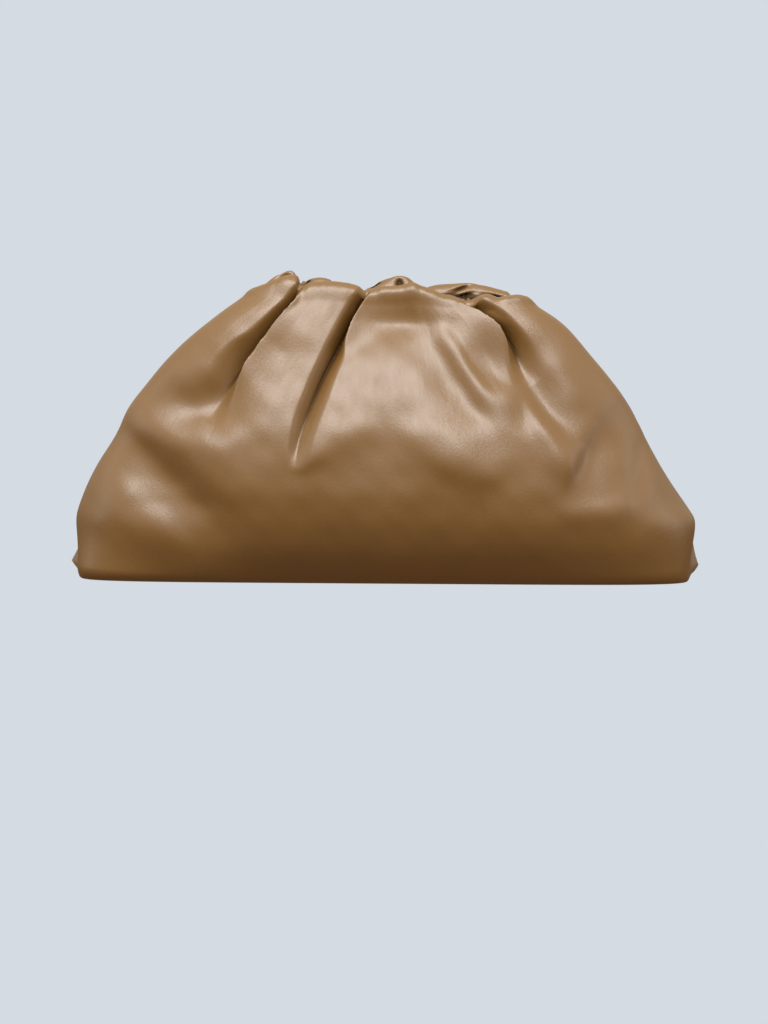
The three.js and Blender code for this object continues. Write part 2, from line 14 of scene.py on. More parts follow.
import bpy
import numpy as np
from mathutils.bvhtree import BVHTree
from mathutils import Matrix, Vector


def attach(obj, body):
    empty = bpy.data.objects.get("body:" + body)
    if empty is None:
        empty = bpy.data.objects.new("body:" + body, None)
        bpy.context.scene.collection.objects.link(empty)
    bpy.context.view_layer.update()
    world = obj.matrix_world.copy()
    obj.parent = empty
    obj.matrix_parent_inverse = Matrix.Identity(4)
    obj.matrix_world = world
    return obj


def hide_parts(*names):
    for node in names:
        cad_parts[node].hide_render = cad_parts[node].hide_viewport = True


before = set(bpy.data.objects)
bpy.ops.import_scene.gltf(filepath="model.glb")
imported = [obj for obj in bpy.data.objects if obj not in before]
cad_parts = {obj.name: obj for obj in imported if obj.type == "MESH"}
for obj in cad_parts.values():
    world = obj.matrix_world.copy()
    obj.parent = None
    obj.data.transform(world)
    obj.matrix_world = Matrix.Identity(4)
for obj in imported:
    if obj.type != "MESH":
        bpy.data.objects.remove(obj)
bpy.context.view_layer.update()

# %% [markdown]
# ## Sizes
#
# A bag maker works in millimetres, so the shape is worked out in millimetres and turned to metres at
# the end. The first sizes are those of the solid in the frame: the body, and the lips rolled over the
# frame bar. The second ones are for what the soft leather does: crescent dents inside the back lip,
# which are also painted dark as shade, pleats, small ears where the lower corners are tucked in
# behind, and the sides drawn in along their seams.

# %% Sizes of the bag, in millimetres
MM = 0.001
BODY_LENGTH = 378
BODY_DEPTH = 128
BODY_HEIGHT = 176
SOLE_LENGTH = 368
SOLE_DEPTH = 84
LEATHER = 2
MOUTH_LENGTH = 156
MOUTH_GAP = 5.5
MOUTH_SHIFT = 4
BAR_THICKNESS = 3
BAR_CLEARANCE = 0.5
FLAP_LENGTH = 22
LIP_ROUND = 11
PLEAT_ROOM = 7
END_ROOM = 2.5
BACK_RISE = 2
LEFT_DROOP = dict(height=2.5, power=6)
RIGHT_DROOP = dict(height=7, power=3.5)

SLIT = MOUTH_GAP / 2
CHANNEL = 2 * (LEATHER + BAR_CLEARANCE) + BAR_THICKNESS
LIP_THICKNESS = CHANNEL + PLEAT_ROOM
LIP_END = MOUTH_LENGTH / 2 + CHANNEL + END_ROOM
print("lip thickness", LIP_THICKNESS, "mm, half length at the lips", LIP_END, "mm")

# %% Dents, pleats, ears and seams, in millimetres
HOLLOW_DEPTH = 2.5
HOLLOWS = [
    dict(x=-61, under=3.2, length=3.2, width=1.2, slant=0),
    dict(x=-51.2, under=1.5, length=2, width=2.5, slant=0),
    dict(x=-47.5, under=2, length=3, width=1.4, slant=0.1),
    dict(x=-5.5, under=2.6, length=4.2, width=1.2, slant=-0.1),
    dict(x=9, under=5, length=2.8, width=2.4, slant=0),
    dict(x=46, under=5.6, length=6, width=1.4, slant=-0.42),
    dict(x=49, under=9.6, length=4.5, width=1, slant=-0.35),
    dict(x=67, under=8.2, length=8, width=1.5, slant=0),
]
PLEAT_DEPTH = 9
PLEAT_WIDTH = 20
CORNER_EARS = dict(left=9, right=6.5, behind=15, height=9.5, spread=12)
SEAM_TUCK = 13
SEAM_WIDTH = 11
print(len(HOLLOWS), "dents in the back lip, each up to", HOLLOW_DEPTH, "mm deep")

# %% [markdown]
# ## Sections of the body
#
# A soft bag could be sculpted by hand, inflated with a cloth simulation, or lofted through sections.
# The outline in the photograph fixes this one closely, so it is lofted: each row of the tables is one
# loop round the bag, from the flap turned into the mouth, over the lips, down the belly and under the
# sole. Lip rows hold shares of the lip's thickness, and body rows hold shares of the way from the lip
# out to half the body's length or depth.

# %% Rows of the lips and of the body
LIP_ROWS = [
    dict(name="flap_end", reach=0, drop=1, lift=0, tail=1, square=(7, 7), pleat=0, arch=0),
    dict(name="flap_top", reach=0, drop=1, lift=0, tail=0, square=(7, 7), pleat=0.15, arch=0),
    dict(name="inner_roll", reach=0.13, drop=0.4, lift=0, tail=0, square=(6, 6), pleat=0.2, arch=0.3),
    dict(name="crest", reach=0.5, drop=0, lift=0, tail=0, square=(4.5, 4.5), pleat=0.3, arch=1),
    dict(name="outer_roll", reach=0.82, drop=0.22, lift=0.5, tail=0,
         square=(3.8, 3.8), pleat=0.75, arch=0.8),
    dict(name="under_roll", reach=1.12, drop=0.95, lift=0.6, tail=0,
         square=(3.2, 3.2), pleat=1, arch=0.35),
]
BODY_ROWS = [
    dict(name="neck", left=0.18, right=0.19, deep=0.165, up=(0.9, 0.885, 0.882),
         square=(2.8, 2.8), tuck=0.45),
    dict(name="shoulder", left=0.45, right=0.44, deep=0.42, up=(0.785, 0.74, 0.745),
         square=(2.4, 2.4), tuck=0.9),
    dict(name="chest", left=0.7, right=0.66, deep=0.675, up=(0.605, 0.61, 0.58),
         square=(2.3, 2.3), tuck=1),
    dict(name="belly", left=0.865, right=0.81, deep=0.91, up=(0.43, 0.465, 0.395),
         square=(2.3, 2.3), tuck=0.8),
    dict(name="waist", left=0.98, right=0.965, deep=1, up=(0.262, 0.31, 0.255),
         square=(2.5, 2.5), tuck=0.4),
    dict(name="skirt", left=1.005, right=1.018, deep=0.93, up=(0.195, 0.165, 0.2),
         square=(2.7, 3), tuck=0.15),
    dict(name="notch", left=0.985, right=0.99, deep=0.78, up=(0.12, 0.075, 0.12),
         square=(3.3, 3.8), tuck=0.6),
    dict(name="heel", left=0.972, right=0.965, deep=0.64, up=(0.045, 0.025, 0.045),
         square=(5.2, 5), tuck=-0.35),
]
SOLE_ENDS = (5.6, 5.6)
PLEAT_FADE = dict(skirt=0.7, notch=0.3, heel=0)
print(len(LIP_ROWS), "lip rows and", len(BODY_ROWS), "body rows")

# %% How the gathered crest rises and falls
# Each pair is a place along the mouth and a height above or below the level crest, both in millimetres.
FRONT_CREST = [
    (-84.7, -1.1), (-77, 0.3), (-71.1, 1.9), (-65.1, 4), (-57.5, 6.7), (-52.1, 6.3), (-49.8, 3.2),
    (-47.4, 0.7), (-43.3, 2.2), (-35.6, 2.8), (-26.7, 2.5), (-17.8, 1), (-8.9, -1.5), (-4.8, -1.2),
    (-0.1, 0.3), (5.9, 0.3), (11.8, 1), (17.7, 2.2), (23.6, 0.1), (28.3, -1.4), (35.4, -4), (41.4, -5.1),
    (47.3, -6.4), (52, -6.5), (56.7, -4.9), (62.7, -2.9), (68.6, -4.4), (74.5, -2.6), (82.8, -0.8),
    (88.7, -0.7), (92.8, -1.2),
]
BACK_CREST = [
    (-89.5, -2.6), (-75.9, 0.2), (-66.1, 5.8), (-57.5, 8.3), (-53.2, 5), (-50.7, 0.6), (-46.4, 2.2),
    (-40.3, 3.3), (-34.1, 2.2), (-29.8, -0.7), (-20.6, -2.6), (-12, -4), (-8.3, -3.1), (-3.4, 0),
    (2.8, 2.4), (8.9, 4), (13.9, 2.8), (17.5, 0.3), (21.2, -2.1), (27.4, -1.5), (39.7, -0.3), (52, 0.9),
    (64.3, 0), (73.5, -1), (79.7, -1.6), (88.9, -1.7),
]
print(len(FRONT_CREST), "places on the front crest and", len(BACK_CREST), "on the back one")


# %% A smooth curve through given values
def smooth_through(knots, values, at):
    """Cubic curve through values at rising knots, flat where the values turn."""
    values = np.asarray(values, float)
    shape = (-1,) + (1,) * (values.ndim - 1)
    rises = np.diff(values, axis=0) / np.diff(knots).reshape(shape)
    slopes = np.concatenate([rises[:1], np.zeros_like(values[1:-1]), rises[-1:]])
    product = rises[:-1] * rises[1:]
    total = rises[:-1] + rises[1:]
    slopes[1:-1] = np.where(product > 0, 2 * product / np.where(product > 0, total, 1), 0)
    i = np.clip(np.searchsorted(knots, at, side="right") - 1, 0, len(knots) - 2)
    width = (knots[i + 1] - knots[i]).reshape(shape)
    t = ((at - knots[i]).reshape(shape)) / width
    start = values[i] * (1 + 2 * t) * (1 - t) ** 2 + slopes[i] * width * t * (1 - t) ** 2
    end = values[i + 1] * (3 - 2 * t) * t**2 - slopes[i + 1] * width * (1 - t) * t**2
    return start + end


# %% Points of a row
def on_loop(across, side, left, right, deep, square):
    """Points of a flattened loop: across runs from -1 at the left seam to 1 at the right one."""
    reach = np.where(across < 0, left, right)
    power = np.where(across < 0, square[0], square[1])
    y = side * deep * np.clip(1 - np.abs(across) ** power, 0, None) ** (1 / power)
    return np.stack([across * reach, y, np.zeros_like(across)], axis=-1)


# %% The crest, and the dents in the back lip
JUST_INSIDE = 1e-6


def crest_rise(x, side):
    """How far the gathered leather stands above or below the level crest, at x on one lip."""
    places, rises = np.array(FRONT_CREST if side < 0 else BACK_CREST, float).T
    return smooth_through(places, rises, np.clip(x, places[0], places[-1] - JUST_INSIDE))


def hollow_at(x, inside, side):
    """Strength of the crescent dents in the back lip, at x and a distance down inside the mouth."""
    total = np.zeros_like(x)
    for h in HOLLOWS:
        across = (x - h["x"]) / h["length"]
        down = (inside - h["under"] - h["slant"] * (x - h["x"])) / h["width"]
        total += np.exp(-(across**2) - down**2)
    return total * (side > 0)


def crest_height(x):
    """Height of the lips' crest, level along the middle and falling away to each end."""
    along = (x - MOUTH_SHIFT) / LIP_END
    fall = np.where(along < 0, LEFT_DROOP["height"], RIGHT_DROOP["height"])
    power = np.where(along < 0, LEFT_DROOP["power"], RIGHT_DROOP["power"])
    return BODY_HEIGHT - fall * np.minimum(np.abs(along), 1) ** power


# %% Points of the lip rows
def lip_points(row, across, side):
    """Points of one lip row on one side."""
    half = MOUTH_LENGTH / 2 + row["reach"] * (CHANNEL + END_ROOM)
    deep = SLIT + row["reach"] * LIP_THICKNESS
    points = on_loop(across, side, half - MOUTH_SHIFT, half + MOUTH_SHIFT, deep, row["square"])
    rise = BACK_RISE * (1 - across**2) if side > 0 else 0
    drop = row["drop"] * LIP_ROUND * (1 - row["lift"] * across**4)
    points[:, 2] = crest_height(points[:, 0]) + rise - drop - row["tail"] * FLAP_LENGTH
    points[:, 2] += row["arch"] * crest_rise(points[:, 0], side)
    return points


# %% Points of the body and sole rows
def body_points(row, across, side):
    """Points of one body row, drawn in at the seam and out at the ear."""
    left_lip, right_lip = LIP_END - MOUTH_SHIFT, LIP_END + MOUTH_SHIFT
    lip = SLIT + LIP_THICKNESS
    left = left_lip + row["left"] * (BODY_LENGTH / 2 - left_lip)
    right = right_lip + row["right"] * (BODY_LENGTH / 2 - right_lip)
    deep = lip + row["deep"] * (BODY_DEPTH / 2 - lip)
    points = on_loop(across, side, left, right, deep, row["square"])
    left_up, mid, right_up = row["up"]
    end = np.where(across < 0, left_up, right_up)
    points[:, 2] = BODY_HEIGHT * (mid + (end - mid) * across**2)
    near_seam = np.exp(-((points[:, 1] / SEAM_WIDTH) ** 2))
    points[:, 0] -= np.sign(across) * SEAM_TUCK * row["tuck"] * near_seam
    from_ear = np.hypot(points[:, 1] - CORNER_EARS["behind"], points[:, 2] - CORNER_EARS["height"])
    ear = np.where(across < 0, -CORNER_EARS["left"], CORNER_EARS["right"])
    points[:, 0] += ear * np.exp(-((from_ear / CORNER_EARS["spread"]) ** 2))
    return points


def sole_points(across, side, on_edge):
    """Points of the sole's edge, or of the line along its middle."""
    half = (SOLE_LENGTH - (0 if on_edge else SOLE_DEPTH)) / 2
    return on_loop(across, side, half, half, SOLE_DEPTH / 2 if on_edge else 0, SOLE_ENDS)


# %% All rows, and the length of leather over them
def all_rows(across, side):
    """Every row's points, and the depth of a full pleat on it."""
    rows = [lip_points(row, across, side) for row in LIP_ROWS]
    rows += [body_points(row, across, side) for row in BODY_ROWS]
    rows += [sole_points(across, side, True), sole_points(across, side, False)]
    lip_depths = [row["pleat"] * PLEAT_ROOM for row in LIP_ROWS]
    body_depths = [PLEAT_DEPTH * PLEAT_FADE.get(row["name"], 1) for row in BODY_ROWS]
    return np.array(rows), np.array(lip_depths + body_depths + [0, 0])


middle_row, pleat_depths = all_rows(np.array([0.0]), -1)
row_knots = np.concatenate([[0], np.cumsum(np.linalg.norm(np.diff(middle_row[:, 0], axis=0), axis=1))])
print("length of leather from the flap to the middle of the sole:", round(row_knots[-1], 1), "mm")

# %% [markdown]
# ## From rows to a fine grid
#
# The rows are joined by a smooth curve that never passes its own high and low points, so the belly
# doesn't wobble. Grid lines are crowded where the pleats are, near the lips, and spread out over the
# plain lower half.


# %% Grid lines, crowded where the pleats are
ROWS_OF_GRID = 213
COLUMNS_OF_GRID = 357
COLUMN_CROWDING = 0.45
CROWDING_STEPS = 2001
ROW_SPACING = [(0, 1.5), (0.07, 1.2), (0.12, 0.75), (0.45, 0.95), (0.62, 1.7), (0.85, 1.8), (1, 2.6)]


def crowded(count, spacing):
    """count places from 0 to 1, set apart in proportion to a spacing that changes along the way."""
    share, step = np.array(spacing).T
    fine = np.linspace(0, 1, CROWDING_STEPS)
    density = np.cumsum(1 / np.interp(fine, share, step))
    density = (density - density[0]) / (density[-1] - density[0])
    return np.interp(np.linspace(0, 1, count), density, fine)


stations = crowded(ROWS_OF_GRID, ROW_SPACING) * row_knots[-1]
half_turn = np.linspace(-1, 1, COLUMNS_OF_GRID)
crowded_turn = half_turn - COLUMN_CROWDING * np.sin(math.pi * half_turn) / math.pi
across_columns = np.sin(math.pi / 2 * crowded_turn)
across_columns[[0, -1]] = -1, 1
print("row spacing", np.diff(stations).min().round(2), "to", np.diff(stations).max().round(2), "mm")


# %% Smoothing and normals of a grid
EVENING_PASSES = 40
EVENING_EASE = 8
SOLE_MARGIN = 6
TINY = 1e-9


def relaxed(grid, start, end, passes):
    """Evens out the grid along its rows' direction, between two stations."""
    keep = np.clip(np.minimum(stations - start, end - stations) / EVENING_EASE, 0, 1)[1:-1, None, None]
    for _ in range(passes):
        even = (grid[:-2] + 2 * grid[1:-1] + grid[2:]) / 4
        grid[1:-1] += keep * (even - grid[1:-1])
    return grid


def normals_of(grid, side):
    """Unit normals that face out of the leather."""
    down = np.gradient(grid, axis=0)
    along = np.gradient(grid, axis=1)
    normal = np.cross(down, along) * (-side)
    return normal / np.maximum(np.linalg.norm(normal, axis=-1, keepdims=True), TINY)


def base_surface(side):
    """The unpleated body, front or back, as a grid of stations by columns."""
    rows, _ = all_rows(across_columns, side)
    grid = smooth_through(row_knots, rows, stations)
    return relaxed(grid, row_knots[len(LIP_ROWS) - 1], row_knots[-2] - SOLE_MARGIN, EVENING_PASSES)


# %% [markdown]
# ## Pleats and folds
#
# Gathered leather doesn't wave evenly: one side of a pleat lies over the other. It could be draped by
# a cloth simulation, but then no fold would fall where the real bag has it, so each one is a given
# path. A crisp pleat says which side lies over, and that side gets a rounded edge that leans across
# the valley. That makes the thin lit line and the dark gap beside it. Where over is None, the fold is
# soft, without an edge, and one with a depth below nothing is a lobe, where slack leather bulges out.
#
# Each place on a path holds x as a share of half the length, z as a share of the height, the depth as
# a share of a full pleat, and the reach to the left and to the right as shares of PLEAT_WIDTH.

# %% Folds of the front
FRONT_FOLDS = [
    dict(name="left_pleat", over="right", path=[
        (-0.251, 1.093, 0.7, 0.3, 0.12), (-0.254, 1.021, 0.85, 0.2, 0.12), (-0.279, 0.968, 0.95, 0.2, 0.12),
        (-0.329, 0.897, 1.05, 0.27, 0.12), (-0.382, 0.821, 1.15, 0.42, 0.12),
        (-0.429, 0.756, 1.1, 0.7, 0.14), (-0.467, 0.704, 0.85, 0.8, 0.26),
        (-0.501, 0.655, 0.5, 0.7, 0.42), (-0.529, 0.602, 0.2, 0.6, 0.5), (-0.548, 0.55, 0, 0.5, 0.5)]),
    dict(name="left_puff", over=None, path=[
        (-0.652, 0.707, 0, 0.9, 1.6), (-0.564, 0.753, -0.15, 1, 1.8), (-0.476, 0.818, -0.28, 1.1, 1.8),
        (-0.389, 0.91, -0.32, 1.1, 1.6), (-0.313, 0.995, -0.12, 0.7, 1), (-0.276, 1.04, 0, 0.5, 0.6)]),
    dict(name="left_pocket", over=None, path=[
        (-0.733, 0.622, 0, 1.1, 0.8), (-0.664, 0.596, 0.5, 1.4, 0.9), (-0.595, 0.589, 0.85, 1.5, 0.95),
        (-0.526, 0.615, 0.75, 1.3, 0.9), (-0.47, 0.655, 0, 0.8, 0.7)]),
    dict(name="left_lobe_edge", over=None, path=[
        (-0.451, 0.674, 0, 0.5, 0.8), (-0.482, 0.628, 0.12, 0.5, 1), (-0.504, 0.583, 0.18, 0.5, 1.1),
        (-0.511, 0.536, 0.12, 0.5, 1), (-0.508, 0.481, 0, 0.5, 0.8)]),
    dict(name="left_cheek_dent", over=None, path=[
        (-0.37, 0.851, 0, 0.4, 0.5), (-0.338, 0.818, 0.07, 0.4, 0.6), (-0.304, 0.785, 0.07, 0.4, 0.6),
        (-0.282, 0.753, 0, 0.4, 0.5)]),
    dict(name="left_lobe", over=None, path=[
        (-0.821, 0.602, 0, 0.6, 0.8), (-0.727, 0.536, -0.15, 0.7, 1.3), (-0.62, 0.498, -0.24, 0.7, 1.4),
        (-0.517, 0.481, -0.2, 0.7, 1.3), (-0.414, 0.481, 0, 0.7, 0.9)]),
    dict(name="under_left_lobe", over=None, path=[
        (-0.864, 0.523, 0, 1, 0.7), (-0.764, 0.419, 0.85, 1.6, 0.9), (-0.67, 0.332, 1.4, 1.9, 1.15),
        (-0.576, 0.238, 0.95, 1.8, 1.4), (-0.514, 0.138, 0.25, 1.5, 1.3), (-0.489, 0.065, 0, 0.9, 0.9)]),
    dict(name="corner_lobe", over=None, path=[
        (-0.927, 0.439, 0, 1, 0.7), (-0.871, 0.349, -0.06, 1.2, 0.9), (-0.777, 0.231, -0.1, 1.3, 0.9),
        (-0.683, 0.162, -0.36, 1.1, 0.7), (-0.614, 0.121, 0, 0.7, 0.5)]),
    dict(name="middle_pleat", over="right", path=[
        (0.009, 1.093, 0.8, 0.3, 0.2), (-0.047, 0.995, 1, 0.28, 0.14), (-0.094, 0.916, 1.15, 0.3, 0.14),
        (-0.126, 0.844, 1.1, 0.32, 0.2), (-0.154, 0.779, 1, 0.34, 0.4), (-0.188, 0.7, 0.9, 0.34, 0.5),
        (-0.219, 0.615, 0.78, 0.34, 0.55), (-0.245, 0.53, 0.6, 0.32, 0.55), (-0.257, 0.46, 0.35, 0.3, 0.5),
        (-0.26, 0.398, 0, 0.3, 0.5)]),
    dict(name="middle_dent", over=None, path=[
        (-0.169, 0.753, 0, 0.5, 0.6), (-0.113, 0.798, 0.26, 0.65, 0.7), (-0.069, 0.825, 0.2, 0.65, 0.7),
        (0, 0.851, 0, 0.5, 0.5)]),
    dict(name="middle_tip", over=None, path=[
        (-0.007, 0.563, 0, 1, 0.9), (-0.119, 0.502, -0.22, 1, 0.8), (-0.207, 0.436, -0.28, 0.7, 0.5),
        (-0.254, 0.405, 0, 0.4, 0.3)]),
    dict(name="middle_dimple", over=None, path=[
        (-0.113, 0.877, 0, 1.2, 0.8), (-0.057, 0.887, 0.55, 1.5, 0.95), (0.006, 0.9, 1.15, 1.65, 1),
        (0.062, 0.893, 0.92, 1.65, 1), (0.125, 0.89, 1.12, 1.65, 0.95), (0.181, 0.861, 0.45, 1.3, 0.8),
        (0.219, 0.825, 0, 0.9, 0.6)]),
    dict(name="middle_arch", over=None, path=[
        (0.015, 0.563, 0, 1, 1), (0.015, 0.453, 0.36, 1.4, 1.4), (0.015, 0.363, 0.26, 1.7, 1.7),
        (0.018, 0.214, 0, 1.8, 1.8)]),
    dict(name="soft_hollow", over=None, path=[
        (0.125, 0.838, 0, 0.9, 0.5), (0.175, 0.766, 0.32, 1, 0.5), (0.238, 0.674, 0.42, 1, 0.5),
        (0.288, 0.592, 0.32, 1, 0.5), (0.344, 0.516, 0, 1, 0.6)]),
    dict(name="right_lobe", over=None, path=[
        (0.043, 0.55, 0, 0.8, 1), (0.15, 0.478, -0.22, 0.9, 1.2), (0.256, 0.405, -0.34, 0.8, 1.1),
        (0.335, 0.38, -0.24, 0.6, 0.9), (0.388, 0.398, 0, 0.5, 0.6)]),
    dict(name="step_ridge", over=None, path=[
        (0.144, 1.034, 0, 0.9, 0.5), (0.181, 0.949, -0.15, 1, 0.5), (0.216, 0.89, -0.22, 1, 0.5),
        (0.266, 0.798, -0.22, 1, 0.5), (0.319, 0.707, -0.18, 0.9, 0.5), (0.375, 0.635, -0.1, 0.7, 0.5),
        (0.413, 0.576, 0, 0.6, 0.5)]),
    dict(name="step_foot", over=None, path=[
        (0.166, 1.014, 0, 0.35, 0.8), (0.203, 0.942, 0.22, 0.38, 1), (0.238, 0.877, 0.34, 0.4, 1.2),
        (0.288, 0.789, 0.36, 0.42, 1.2), (0.344, 0.7, 0.28, 0.42, 1), (0.4, 0.628, 0, 0.4, 0.8)]),
    dict(name="right_pleat", over="left", path=[
        (0.213, 1.093, 0.6, 0.3, 0.4), (0.256, 0.968, 0.9, 0.2, 0.34), (0.306, 0.929, 1.2, 0.12, 0.32),
        (0.366, 0.887, 1.3, 0.14, 0.36), (0.404, 0.841, 1.1, 0.2, 0.42), (0.429, 0.792, 0.7, 0.34, 0.5),
        (0.447, 0.74, 0.35, 0.5, 0.55), (0.469, 0.681, 0, 0.55, 0.6)]),
    dict(name="right_pleat_tail", over=None, path=[
        (0.407, 0.838, 0, 0.6, 0.7), (0.435, 0.785, 0.35, 0.6, 0.7), (0.457, 0.726, 0.62, 0.65, 0.75),
        (0.485, 0.664, 0.66, 0.65, 0.8), (0.526, 0.599, 0.5, 0.65, 0.8), (0.566, 0.54, 0.25, 0.6, 0.8),
        (0.604, 0.467, 0, 0.6, 0.7)]),
    dict(name="gusset_shade", over=None, path=[
        (0.219, 0.812, 0, 0.7, 0.9), (0.275, 0.779, 0.2, 0.8, 1.2), (0.325, 0.749, 0.32, 0.8, 1.3),
        (0.378, 0.72, 0.28, 0.75, 1.1), (0.432, 0.687, 0, 0.5, 0.7)]),
    dict(name="gusset_spot", over=None, path=[
        (0.413, 0.674, 0, 0.5, 0.4), (0.429, 0.628, 0.16, 0.7, 0.45), (0.444, 0.576, 0.16, 0.7, 0.45),
        (0.463, 0.509, 0, 0.5, 0.5)]),
    dict(name="gusset_ridge", over=None, path=[
        (0.45, 0.668, 0, 0.3, 0.4), (0.482, 0.602, -0.06, 0.4, 0.5), (0.519, 0.523, -0.2, 0.55, 0.6),
        (0.557, 0.446, -0.4, 0.7, 0.8), (0.591, 0.394, -0.3, 0.7, 0.7), (0.629, 0.349, 0, 0.5, 0.5)]),
    dict(name="right_side_fold", over=None, path=[
        (0.745, 0.589, 0, 0.4, 1.2), (0.707, 0.509, 0.32, 0.45, 1.6), (0.663, 0.419, 0.45, 0.45, 1.6),
        (0.62, 0.335, 0.25, 0.45, 1.3), (0.594, 0.287, 0, 0.4, 1)]),
    dict(name="right_corner_crease", over=None, path=[
        (0.826, 0.509, 0, 0.3, 0.3), (0.814, 0.432, 0.1, 0.4, 0.4), (0.804, 0.335, 0.12, 0.4, 0.4),
        (0.801, 0.231, 0, 0.3, 0.3)]),
    dict(name="right_corner_ridge", over=None, path=[
        (0.551, 0.245, 0, 0.6, 0.5), (0.638, 0.249, -0.24, 0.7, 0.6), (0.757, 0.263, -0.24, 0.7, 0.6),
        (0.845, 0.294, 0, 0.5, 0.5)]),
]

# %% Folds of the back
BACK_FOLDS = [
    dict(name="back_left_pleat", over="right", path=[
        (-0.25, 1.06, 0.4, 0.4, 0.3), (-0.33, 0.88, 1, 0.8, 0.16), (-0.44, 0.7, 0.9, 1.1, 0.25),
        (-0.56, 0.5, 0, 1, 0.5)]),
    dict(name="back_middle_pleat", over="right", path=[
        (-0.06, 1.06, 0.5, 0.3, 0.16), (-0.09, 0.86, 1, 0.7, 0.14), (-0.14, 0.65, 0.8, 0.8, 0.3),
        (-0.13, 0.44, 0, 0.7, 0.4)]),
    dict(name="back_short_pleat", over="left", path=[
        (0.115, 1.06, 0.5, 0.16, 0.3), (0.15, 0.88, 0.9, 0.14, 0.7), (0.19, 0.72, 0.6, 0.3, 0.8),
        (0.27, 0.55, 0, 0.4, 0.7)]),
    dict(name="back_right_pleat", over="left", path=[
        (0.4, 1.06, 0.5, 0.16, 0.3), (0.42, 0.88, 1, 0.14, 0.8), (0.48, 0.7, 0.9, 0.25, 1.1),
        (0.6, 0.47, 0, 0.5, 1)]),
    dict(name="back_side_fold", over=None, path=[
        (0.83, 0.5, 0, 0.9, 0.6), (0.7, 0.37, 0.5, 1, 0.6), (0.58, 0.24, 0, 0.8, 0.5)]),
    dict(name="back_corner_fold", over=None, path=[
        (-0.72, 0.56, 0, 0.5, 0.8), (-0.66, 0.42, 0.5, 0.5, 0.9), (-0.6, 0.28, 0, 0.5, 0.8)]),
    dict(name="back_left_lobe", over=None, path=[
        (-0.42, 0.56, 0, 0.8, 0.9), (-0.38, 0.45, -0.3, 0.9, 1.1), (-0.36, 0.36, 0, 0.8, 0.9)]),
    dict(name="back_right_lobe", over=None, path=[
        (0.36, 0.58, 0, 0.8, 0.9), (0.4, 0.46, -0.3, 0.9, 1.1), (0.42, 0.36, 0, 0.8, 0.9)]),
]
print(len(FRONT_FOLDS), "folds in front and", len(BACK_FOLDS), "behind")

# %% [markdown]
# ### The shape of a fold
#
# A crisp pleat needs each point's nearest place on its path, because its bottom is a sharp line. A
# soft fold made in that way shows facets wherever the nearest place jumps, so it is made another way:
# as a chain of round dents set closely along the path, which melt into one without an edge.

# %% Where each point lies beside a fold
FOLD_STEPS = 48


def laid_path(fold):
    """The fold's path in millimetres, as evenly set points with their depth and widths."""
    path = np.array(fold["path"], float)
    path[:, 0] *= BODY_LENGTH / 2
    path[:, 1] *= BODY_HEIGHT
    path[:, 3:] *= PLEAT_WIDTH
    knots = np.concatenate([[0], np.cumsum(np.linalg.norm(np.diff(path[:, :2], axis=0), axis=1))])
    return smooth_through(knots, path, np.linspace(0, knots[-1], FOLD_STEPS))


def beside_fold(fold, x, z):
    """Distance of each point from the fold's path, its side, and the fold's size and direction there."""
    path = laid_path(fold)
    best = np.full(x.shape, np.inf)
    found = {key: np.zeros(x.shape) for key in ("depth", "left", "right", "turn", "dx", "dz")}
    for a, b in zip(path[:-1], path[1:]):
        dx, dz = b[0] - a[0], b[1] - a[1]
        length = math.hypot(dx, dz)
        t = np.clip(((x - a[0]) * dx + (z - a[1]) * dz) / length**2, 0, 1)
        away = np.hypot(x - a[0] - t * dx, z - a[1] - t * dz)
        near = away < best
        best[near] = away[near]
        turn = dx * (z - a[1]) - dz * (x - a[0])
        values = dict(zip(("depth", "left", "right"), (a[k] + (b[k] - a[k]) * t for k in (2, 3, 4))))
        values.update(turn=turn, dx=np.full(x.shape, dx / length), dz=np.full(x.shape, dz / length))
        for key, value in values.items():
            found[key][near] = value[near]
    return best, found


# %% A soft fold
SPREADS_PER_WIDTH = 2.2
SIDE_BLEND = 4


def soft_shape(fold, x, z):
    """Depth share of a soft fold, as round dents along its path."""
    path = laid_path(fold)
    depth = np.zeros(x.shape)
    for a, b in zip(path[:-1], path[1:]):
        step = math.hypot(b[0] - a[0], b[1] - a[1])
        _, _, peak, left, right = (a + b) / 2
        off_x, off_z = x - (a[0] + b[0]) / 2, z - (a[1] + b[1]) / 2
        aside = ((b[0] - a[0]) * off_z - (b[1] - a[1]) * off_x) / step
        to_right = np.tanh(SIDE_BLEND * aside / (left + right))
        spread = (left + right + (right - left) * to_right) / 2 / SPREADS_PER_WIDTH
        dent = np.exp(-(off_x**2 + off_z**2) / (2 * spread**2))
        depth += peak * step / (spread * math.sqrt(2 * math.pi)) * dent
    return depth


# %% A crisp pleat
CREASE_SOFTNESS = 0.04
CREASE_LINE = 1.1
LINE_FROM = 0.3
LINE_SPAN = 0.6
SOFT_WIDTH = 0.45
CRISP_SPAN = 0.3
OVER_REACH = 7.0


def crisp_side(width):
    """1 where a side is narrow and so steep, 0 where it is a soft slope."""
    return np.clip((SOFT_WIDTH * PLEAT_WIDTH - width) / (CRISP_SPAN * PLEAT_WIDTH), 0, 1)


